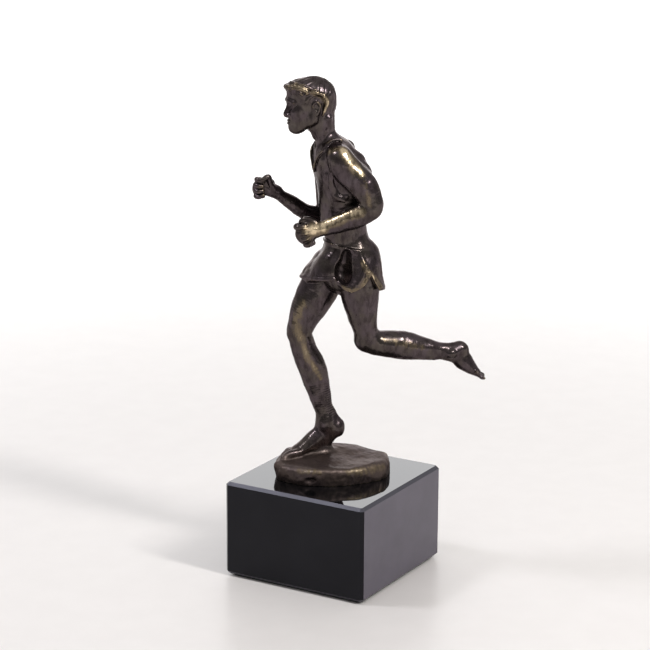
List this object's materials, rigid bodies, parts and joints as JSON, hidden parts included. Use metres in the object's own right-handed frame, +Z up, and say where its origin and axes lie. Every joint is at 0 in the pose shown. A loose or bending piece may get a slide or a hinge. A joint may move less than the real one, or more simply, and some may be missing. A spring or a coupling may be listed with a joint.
{
  "type": "figure trophy",
  "caption": "Cast bronze figure of a barefoot runner in mid-stride on a lumpy oval ground, bolted to a square polished black stone block with a felt foot.",
  "frame": {"origin": "middle of the felt's underside, where the trophy rests", "axes": "+Z up; the block's side faces are square to X and Y; the runner heads towards the corner between -X and -Y"},
  "size_m": [0.1031, 0.0926, 0.2544],
  "materials": {
    "figure_bronze": "cast bronze, dark brown patina rubbed back to golden metal on the high points",
    "ground_bronze": "cast bronze, dark brown patina, hammered and lumpy",
    "black_stone": "mirror-polished black stone with bevelled edges",
    "felt": "pressed felt",
    "zinc_steel": "bright zinc plated"
  },
  "bodies": {
    "root": {"runner_figure": "figure_bronze", "ground": "ground_bronze", "base_block": "black_stone", "base_felt": "felt", "stud_front": "zinc_steel", "washer_front": "zinc_steel", "spring_washer_front": "zinc_steel", "nut_front": "zinc_steel", "stud_rear": "zinc_steel", "washer_rear": "zinc_steel", "spring_washer_rear": "zinc_steel", "nut_rear": "zinc_steel"}
  },
  "joints": []
}
